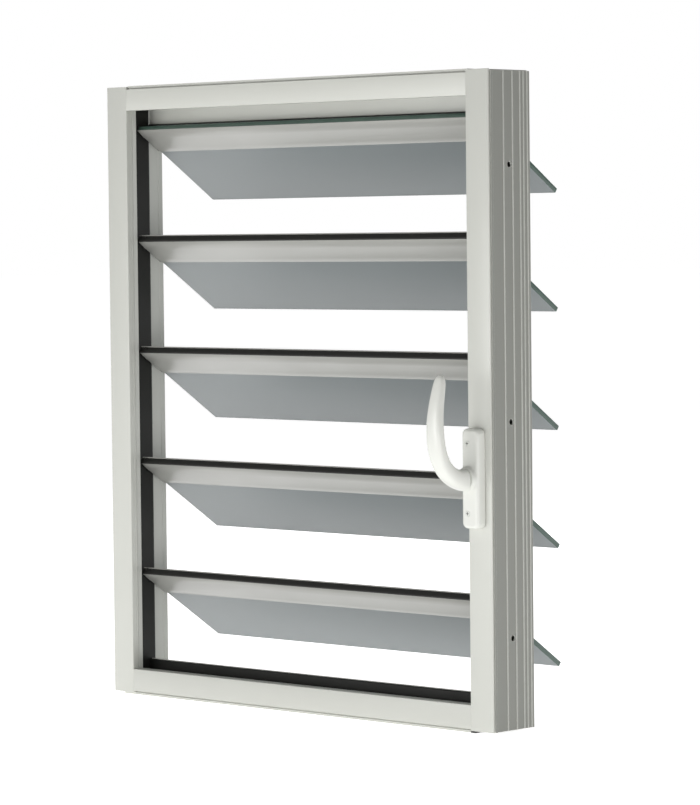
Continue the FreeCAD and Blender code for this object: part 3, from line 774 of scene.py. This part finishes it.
@dataclass
class Blade:
    """One glass blade with its rail, seal, keeper and end caps. Sizes in millimetres."""

    number: int
    length: float = 569.0
    height: float = 154.0
    glass: float = 6.0
    tip: float = 17.5
    tilt: float = 56.0
    pitch: float = 137.0
    lowest_pivot: float = 141.2
    pivot_depth: float = 38.0
    frame_depth: float = 70.0
    frame_half: float = 315.0
    rail_height: float = 46.0
    arris: float = 0.9
    pane_area: float = 0.05
    seal_rise: float = 2.5
    tab_starts: tuple[float, float] = (7.0, 12.0)
    tab_gauge: float = 1.4
    cap: float = 3.0
    stub_radius: float = 4.0
    stub_insets: tuple[float, float] = (19.0, 16.0)

    @property
    def pivot(self) -> tuple[float, float]:
        """Returns Y and Z of the pivot in millimetres."""
        return self.pivot_depth - self.frame_depth / 2, self.lowest_pivot + (5 - self.number) * self.pitch

    @property
    def body(self) -> str:
        """Returns the moving body that the blade belongs to."""
        return f"louvre_{self.number}"

    def tilted(self, through: float, up: float) -> tuple[float, float]:
        """Turns a point of the blade's section into the window's Y and Z.

        Args:
            through: Millimetres through the glass, outdoors positive.
            up: Millimetres up the blade from its pivot.

        Returns:
            Y and Z in metres.
        """
        turn = math.radians(self.tilt)
        y, z = self.pivot
        return ((y + through * math.cos(turn) - up * math.sin(turn)) * MM,
                (z + through * math.sin(turn) + up * math.cos(turn)) * MM)

    def strip(self, name: str, outline: Outline, bevel: float, shorten: float = 0.0) -> bpy.types.Object:
        """A length of constant section along the blade.

        Args:
            name: Name of the piece.
            outline: Section corners in millimetres.
            bevel: Edge rounding in millimetres.
            shorten: How much each end stays back.

        Returns:
            The new object.
        """
        half = (self.length / 2 - shorten) * MM
        return prism(name, [self.tilted(a, b) for a, b in outline], Plane.ACROSS, -half, half, bevel * MM, 3)

    def own(self, item: bpy.types.Object, node: str) -> None:
        """Lets a piece stand for a CAD node of this blade.

        Args:
            item: The piece.
            node: CAD node that it stands for.
        """
        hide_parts(node)
        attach(item, self.body)
        LOG.info("built %s", item.name)

    def make_glass(self, wardrobe: Wardrobe) -> None:
        """The pane, with arrised edges in the green of thick glass.

        Args:
            wardrobe: The materials.
        """
        foot, half = self.tip - self.height, self.glass / 2
        node = f"blade_{self.number}_glass"
        corners = ((-half, foot), (half, foot), (half, self.tip), (-half, self.tip))
        item = prism(node + "_pane", [self.tilted(a, b) for a, b in corners],
                     Plane.ACROSS, -self.length / 2 * MM, self.length / 2 * MM)
        item.data.materials.append(None)
        item.data.materials.append(None)
        for face in item.data.polygons:
            face.material_index = 0 if face.area > self.pane_area else 1
        modify(item, "BEVEL", width=self.arris * MM, segments=3, limit_method="ANGLE", material=1)
        finish_mesh(item, 50.0)
        wardrobe.dress(item, "blade_glass_face", "blade_glass_edge")
        self.own(item, node)

    def make_rail(self, wardrobe: Wardrobe) -> None:
        """The aluminium rail on the room face: a sloping top band and a flat one below.

        Args:
            wardrobe: The materials.
        """
        inner, top = -self.glass / 2, self.tip
        outline = [(inner, top), (inner - 1.0, top), (inner - 1.9, top - 14.2), (inner - 1.55, top - 15.2),
                   (inner - 1.5, top - self.rail_height + 9), (inner - 0.9, top - self.rail_height),
                   (inner, top - self.rail_height)]
        node = f"blade_{self.number}_rail"
        item = finish_mesh(self.strip(node + "_band", outline, 0.25))
        wardrobe.dress(item, "rail_satin")
        self.own(item, node)

    def make_seal(self, wardrobe: Wardrobe) -> None:
        """The black strip on the top edge and the aluminium keeper behind it; the keeper's light line is a
        painted highlight on the strip's rounded rear.

        Args:
            wardrobe: The materials.
        """
        inner, half, top = -self.glass / 2, self.glass / 2, self.tip
        crest = top + self.seal_rise
        seal = [(inner - 1.2, top), (half, top), (half, crest), (inner - 0.6, crest),
                (inner - 1.2, top + 1.9)]
        node = f"blade_{self.number}_top_seal"
        pieces = [self.strip(node + "_strip", seal, 0.35)]
        for start in self.tab_starts:
            tab = [(-0.5, top + 2.2), (1.5, top + 2.2), (1.2, top + 6.0), (-0.2, top + 6.0)]
            left = (-self.length / 2 + start) * MM
            pieces.append(prism(node + "_tab", [self.tilted(a, b) for a, b in tab], Plane.ACROSS, left,
                                left + self.tab_gauge * MM, 0.2 * MM, 2))
        item = finish_mesh(weld(node + "_strip", pieces))
        wardrobe.dress(item, "seal_rubber_skin")
        self.own(item, node)
        # The light keeper stands in for the highlight on the seal's rounded rear: a painted highlight.
        keeper = [(half, top - 15), (half + 1.3, top - 14), (half + 1.3, top + 2.9), (half, top + 2.9)]
        node = f"blade_{self.number}_keeper"
        item = finish_mesh(self.strip(node + "_bar", keeper, 0.3))
        wardrobe.dress(item, "rail_satin")
        self.own(item, node)

    def make_cap(self, side: int, wardrobe: Wardrobe) -> None:
        """One end cap with its stub.

        Args:
            side: -1 for left, 1 for right.
            wardrobe: The materials.
        """
        name = "left" if side < 0 else "right"
        node = f"blade_{self.number}_{name}_cap"
        face = self.length / 2
        half = self.glass / 2 + 0.2
        low, high = self.tip - self.rail_height, self.tip - 0.5
        outline = [(-half, low), (half, low), (half, high), (-half, high)]
        ends = sorted((side * face * MM, side * (face + self.cap) * MM))
        pieces = [prism(node + "_plate", [self.tilted(a, b) for a, b in outline], Plane.ACROSS, *ends,
                        0.6 * MM, 3)]
        stub_end = self.frame_half - self.stub_insets[side > 0]
        length = stub_end - face - self.cap
        y, z = self.pivot
        centre = (side * (face + self.cap + length / 2) * MM, y * MM, z * MM)
        pieces.append(turned(node + "_stub", centre, "x", self.stub_radius * MM, length * MM, 0.4 * MM))
        item = finish_mesh(weld(node + "_moulding", pieces))
        wardrobe.dress(item, "cap_moulding_and_recess_shade")
        self.own(item, node)

    def build(self, wardrobe: Wardrobe) -> None:
        """Builds every piece of the blade.

        Args:
            wardrobe: The materials.
        """
        self.make_glass(wardrobe)
        self.make_rail(wardrobe)
        if self.number > 1:
            self.make_seal(wardrobe)
        for side in (-1, 1):
            self.make_cap(side, wardrobe)


@dataclass
class Handle:
    """The handle plate with its boss, the J-shaped lever and the two screws. Sizes in millimetres."""

    x: float = 290.6
    z: float = 289.5
    front: float = -35.0
    thickness: float = 13.0
    width: float = 25.0
    height: float = 113.0
    centre: float = 293.7
    boss: float = 13.0
    rise: float = 5.0
    reach: float = 50.0
    lift: float = 118.0
    lever_width: float = 19.0
    lever_thickness: float = 13.0
    lever_cage: float = 1.15
    corner_round: float = 7.0
    rim_round: float = 4.0
    boss_flare: float = 3.0
    boss_root: float = 7.0
    voxel: float = 0.55
    smoothing: int = 14
    bore: float = 3.5
    seat: float = 3.4
    screw_spacing: float = 79.0
    screw_head: float = 3.1
    screw_head_height: float = 1.7
    slot_reach: float = 1.9
    slot_half: float = 0.4
    shank: float = 1.5
    shank_length: float = 18.5

    def make_plate(self, wardrobe: Wardrobe) -> None:
        """The moulded plate: a rounded slab into which the boss flows.

        Args:
            wardrobe: The materials.
        """
        low = [(self.centre - self.width / 2) * MM, (self.front - self.thickness) * MM,
               (self.z - self.height / 2) * MM]
        high = [(self.centre + self.width / 2) * MM, self.front * MM, (self.z + self.height / 2) * MM]
        slab = block("handle_plate_body", low, high, 0.0)
        round_edges(slab, self.corner_round * MM, 8,
                    lambda p, q: abs(p.x - q.x) < 1e-6 and abs(p.z - q.z) < 1e-6)
        round_edges(slab, self.rim_round * MM, 6, lambda p, q: max(p.y, q.y) < low[1] + 1e-5)
        y = self.front - self.thickness
        boss = turned("boss", (self.x * MM, (y - self.rise / 2 + self.boss_root / 2) * MM, self.z * MM), "y",
                      (self.boss + self.boss_flare) * MM, (self.rise + self.boss_root) * MM, 0.0, 64,
                      (self.boss - 0.5) * MM)
        finish_mesh(boss)
        finish_mesh(slab)
        limit = finish_mesh(block("boss_trim", [(self.x - self.boss - 0.5) * MM, low[1] - 0.03, low[2]],
                                  [high[0] - 2e-5, high[1] - 0.001, high[2]], 0.0))
        modify(boss, "BOOLEAN", operation="INTERSECT", object=limit, solver="EXACT")
        bpy.data.objects.remove(limit)
        modify(slab, "BOOLEAN", operation="UNION", object=boss, solver="EXACT")
        bpy.data.objects.remove(boss)
        LOG.info("plate blank has %d faces", len(slab.data.polygons))
        modify(slab, "REMESH", mode="VOXEL", voxel_size=self.voxel * MM)
        modify(slab, "SMOOTH", factor=0.5, iterations=self.smoothing)
        bores = [turned("bore", (self.x * MM, (y - 5) * MM, self.z * MM), "y", self.bore * MM, 30 * MM)]
        for sign in (-1, 1):
            z = self.z + sign * self.screw_spacing / 2
            bores.append(turned("seat", (self.x * MM, (y - 8.6) * MM, z * MM), "y", self.seat * MM, 20 * MM))
        carve(slab, bores)
        finish_mesh(slab, 40.0)
        wardrobe.dress(slab, "handle_enamel")
        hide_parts("handle_plate")
        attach(slab, "frame")
        LOG.info("built %s", slab.name)

    def make_screws(self, wardrobe: Wardrobe) -> None:
        """Two pan-head screws with a cross recess whose floor is painted dark as shade.

        Args:
            wardrobe: The materials.
        """
        pieces = []
        y = self.front - self.thickness
        reach, half = self.slot_reach, self.slot_half
        for sign in (-1, 1):
            z = self.z + sign * self.screw_spacing / 2
            head = turned("screw_head", (self.x * MM, (y + 0.45) * MM, z * MM), "y", self.screw_head * MM,
                          self.screw_head_height * MM, 0.5 * MM)
            slots = [block(name, [(self.x - a) * MM, (y - 3) * MM, (z - b) * MM],
                           [(self.x + a) * MM, (y + 0.6) * MM, (z + b) * MM], 0.0)
                     for name, a, b in (("slot_a", reach, half), ("slot_b", half, reach))]
            carve(head, slots)
            shank = turned("screw_shank", (self.x * MM, (y + 10.5) * MM, z * MM), "y", self.shank * MM,
                           self.shank_length * MM)
            pieces += [head, shank]
        item = finish_mesh(weld("handle_screw_pair", pieces))
        # The floor of each cross recess takes the dark moulding: painted shade in the recess.
        item.data.materials.append(None)
        item.data.materials.append(None)
        for face in item.data.polygons:
            above = abs(abs(face.center.z - self.z * MM) - self.screw_spacing / 2 * MM)
            away = math.hypot(face.center.x - self.x * MM, above)
            sunk = (y - 0.2) * MM < face.center.y < (y + 1.0) * MM
            face.material_index = 1 if sunk and away < 2.0 * MM else 0
        wardrobe.dress(item, "handle_enamel", "cap_moulding_and_recess_shade")
        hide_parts("handle_screws")
        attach(item, "frame")
        LOG.info("built %s", item.name)

    def stations(self) -> list[tuple[float, float, float, float]]:
        """Sets out the lever from its root to its tip.

        Returns:
            Forward reach, rise, width and thickness of each station, in millimetres.
        """
        shares = ((0.0, -0.012, 0.96, 1.74), (0.18, -0.006, 0.98, 1.60), (0.46, 0.032, 1.0, 1.34),
                  (0.74, 0.132, 1.0, 1.14), (0.90, 0.28, 1.02, 1.04), (0.965, 0.46, 1.0, 0.98),
                  (0.93, 0.68, 0.84, 0.90), (0.80, 0.90, 0.66, 0.84), (0.765, 0.965, 0.52, 0.66),
                  (0.755, 0.995, 0.24, 0.30))
        return [(self.reach * a, self.lift * b, self.lever_width * c, self.lever_thickness * d)
                for a, b, c, d in shares]

    def make_lever(self, wardrobe: Wardrobe) -> None:
        """The lever: a ring extruded from the boss through each station, then subdivided.

        Args:
            wardrobe: The materials.
        """
        deselect()
        start = self.front - self.thickness - self.rise - 0.3
        stations = self.stations()
        path = [Vector((self.x, start - forward, self.z + rise)) * MM for forward, rise, _, _ in stations]
        ring = ((1.0, 0.52), (0.66, 1.0), (-0.66, 1.0), (-1.0, 0.52),
                (-1.0, -0.52), (-0.66, -1.0), (0.66, -1.0), (1.0, -0.52))
        bpy.ops.mesh.primitive_circle_add(vertices=len(ring), radius=0.01, fill_type="NGON")
        item = bpy.context.object
        item.name = item.data.name = "handle_lever_grip"
        for index, (forward, rise, wide, thick) in enumerate(stations):
            ahead, behind = path[min(index + 1, len(path) - 1)], path[max(index - 1, 0)]
            along = Vector((0, -1, 0)) if index == 0 else (ahead - behind).normalized()
            across = Vector((0, along.z, -along.y))
            if index:
                bpy.ops.object.mode_set(mode="EDIT")
                bpy.ops.mesh.extrude_region_move(TRANSFORM_OT_translate={"value": along * 0.001})
                bpy.ops.object.mode_set(mode="OBJECT")
            chosen = [v for v in item.data.vertices if v.select] if index else list(item.data.vertices)
            chosen = chosen[-len(ring):]
            for corner, (a, b) in zip(chosen, ring):
                sideways = Vector((a * wide / 2 * MM * self.lever_cage, 0, 0))
                corner.co = path[index] + sideways + across * (b * thick / 2 * MM * self.lever_cage)
            if not index:
                bpy.ops.object.mode_set(mode="EDIT")
                bpy.ops.mesh.select_all(action="SELECT")
                bpy.ops.object.mode_set(mode="OBJECT")
        bpy.ops.object.mode_set(mode="EDIT")
        bpy.ops.mesh.inset(thickness=0.0006)
        bpy.ops.object.mode_set(mode="OBJECT")
        for face in item.data.polygons:
            face.select = len(face.vertices) == len(ring) and face.center.y > (start - 1) * MM
        bpy.ops.object.mode_set(mode="EDIT")
        bpy.ops.mesh.inset(thickness=0.0008)
        bpy.ops.object.mode_set(mode="OBJECT")
        modify(item, "SUBSURF", levels=3, render_levels=3)
        finish_mesh(item, 45.0)
        wardrobe.dress(item, "handle_enamel")
        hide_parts("handle_lever")
        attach(item, "handle")
        LOG.info("built %s", item.name)

    def build(self, wardrobe: Wardrobe) -> None:
        """Builds the handle.

        Args:
            wardrobe: The materials.
        """
        self.make_plate(wardrobe)
        self.make_screws(wardrobe)
        self.make_lever(wardrobe)


@dataclass
class CarriedOver:
    """CAD nodes that keep their mesh and get a better material."""

    rules: tuple[tuple[str, str], ...] = (
        ("_jamb_seal", "seal_rubber_skin"), ("head_seal", "seal_rubber_skin"),
        ("_jamb", "jamb_side_coat"), ("top_plate", "powder_coat"), ("base_plate", "powder_coat"),
        ("drain_plug", "cap_moulding_and_recess_shade"), ("_bushes", "cap_moulding_and_recess_shade"), ("rack_guide", "bush_nylon_skin"),
        ("_keys", "mill_alloy"), ("_crank", "zinc_plate"), ("link_bar", "zinc_plate"),
        ("handle_spindle", "zinc_plate"), ("drive_slide", "zinc_plate"))

    def build(self, wardrobe: Wardrobe) -> None:
        """Dresses each node by the first rule that its name ends with.

        Args:
            wardrobe: The materials.
        """
        for name, node in sorted(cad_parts.items()):
            finish = next((f for ending, f in self.rules if name.endswith(ending)), None)
            if finish is None:
                continue
            wardrobe.dress(node, finish)
            LOG.info("dressed %s in %s", name, finish)


@dataclass(frozen=True)
class SoftBox:
    """A square soft light: where it stands, what it faces, its side in metres and its power in watts."""

    name: str
    spot: tuple[float, float, float]
    target: tuple[float, float, float]
    size: float
    power: float


MIDDLE = (0.0, 0.0, 0.38)
SOFT_BOXES = (
    SoftBox("key_softbox", (-0.95, -3.5, 0.30), MIDDLE, 2.0, 36.0),
    SoftBox("low_fill", (0.0, -1.7, 0.08), (0.05, 0.0, 0.02), 1.0, 8.0),
    SoftBox("side_bounce", (1.15, -0.35, 0.05), (0.3, 0.0, 0.0), 0.5, 2.4),
    SoftBox("top_softbox", (-1.4, 0.9, 3.2), MIDDLE, 2.4, 30.0),
    SoftBox("back_fill", (-0.6, 3.0, 1.2), MIDDLE, 2.4, 42.0),
)


@dataclass
class Studio:
    """Floor, light and camera."""

    azimuth: float = 44.0
    elevation: float = 2.567
    roll: float = -0.598
    position: tuple[float, float, float] = (3.0918, -3.1374, 0.5635)
    lens: float = 166.2
    floor_size: float = 80.0
    floor_drop: float = 0.0005
    floor_glow: float = 0.80
    surround_light: float = 0.23

    def make_floor(self) -> None:
        """A wide pale floor."""
        deselect()
        bpy.ops.mesh.primitive_plane_add(size=self.floor_size, location=(0, 0, -self.floor_drop))
        floor = bpy.context.object
        floor.name = "studio_floor"
        bpy.ops.object.transform_apply(location=True, rotation=True, scale=True)
        material = bpy.data.materials.new("floor_paper")
        material.use_nodes = True
        shader = next(n for n in material.node_tree.nodes if n.type == "BSDF_PRINCIPLED")
        shader.inputs["Base Color"].default_value = (0.9, 0.9, 0.9, 1)
        shader.inputs["Roughness"].default_value = 0.9
        shader.inputs["Emission Color"].default_value = (1, 1, 1, 1)
        shader.inputs["Emission Strength"].default_value = self.floor_glow
        floor.data.materials.append(material)

    def make_world(self) -> None:
        """A white surround that lights the shaded sides gently."""
        world = bpy.data.worlds.new("studio_white")
        world.use_nodes = True
        bpy.context.scene.world = world
        tree = world.node_tree
        ground = next(n for n in tree.nodes if n.type == "BACKGROUND")
        ground.inputs["Color"].default_value = (1, 1, 1, 1)
        ground.inputs["Strength"].default_value = self.surround_light
        seen = tree.nodes.new("ShaderNodeBackground")
        seen.inputs["Color"].default_value = (1, 1, 1, 1)
        seen.inputs["Strength"].default_value = 1.0
        rays = tree.nodes.new("ShaderNodeLightPath")
        mix = tree.nodes.new("ShaderNodeMixShader")
        output = next(n for n in tree.nodes if n.type == "OUTPUT_WORLD")
        tree.links.new(rays.outputs["Is Camera Ray"], mix.inputs[0])
        tree.links.new(ground.outputs[0], mix.inputs[1])
        tree.links.new(seen.outputs[0], mix.inputs[2])
        tree.links.new(mix.outputs[0], output.inputs["Surface"])

    def make_light(self, box: SoftBox) -> None:
        """Hangs one soft light.

        Args:
            box: Its name, place, aim, size and power.
        """
        deselect()
        spot, target = Vector(box.spot), Vector(box.target)
        bpy.ops.object.light_add(type="AREA", location=spot)
        lamp = bpy.context.object
        lamp.name = box.name
        lamp.data.size = box.size
        lamp.data.energy = box.power
        lamp.rotation_euler = (target - spot).to_track_quat("-Z", "Y").to_euler()

    def make_camera(self) -> None:
        """The camera, set by its place, its two angles and its roll."""
        a, e, r = (math.radians(v) for v in (self.azimuth, self.elevation, self.roll))
        back = Vector((math.sin(a) * math.cos(e), -math.cos(a) * math.cos(e), math.sin(e)))
        right = Vector((math.cos(a), math.sin(a), 0))
        up = back.cross(right)
        right, up = right * math.cos(r) + up * math.sin(r), up * math.cos(r) - right * math.sin(r)
        deselect()
        bpy.ops.object.camera_add()
        camera = bpy.context.object
        matrix = Matrix((right, up, back)).transposed().to_4x4()
        matrix.translation = Vector(self.position)
        camera.matrix_world = matrix
        camera.data.lens = self.lens
        camera.data.sensor_width = 36.0
        camera.data.clip_end = 200.0
        bpy.context.scene.camera = camera

    def build(self) -> None:
        """Sets the stage."""
        self.make_floor()
        self.make_world()
        for box in SOFT_BOXES:
            self.make_light(box)
        self.make_camera()
        bpy.context.scene.view_settings.view_transform = "Standard"


def main() -> None:
    """Builds and dresses the whole window in order."""
    logging.basicConfig(level=logging.INFO, format="%(name)s: %(message)s")
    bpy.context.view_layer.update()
    wardrobe = Wardrobe()
    steps: list[Callable[[], None]] = [lambda: FrameSet().build(wardrobe)]
    steps += [lambda n=n: Blade(n).build(wardrobe) for n in range(1, 6)]
    steps += [lambda: Handle().build(wardrobe), lambda: CarriedOver().build(wardrobe),
              lambda: Studio().build()]
    for step in steps:
        step()


if __name__ == "__main__":
    main()
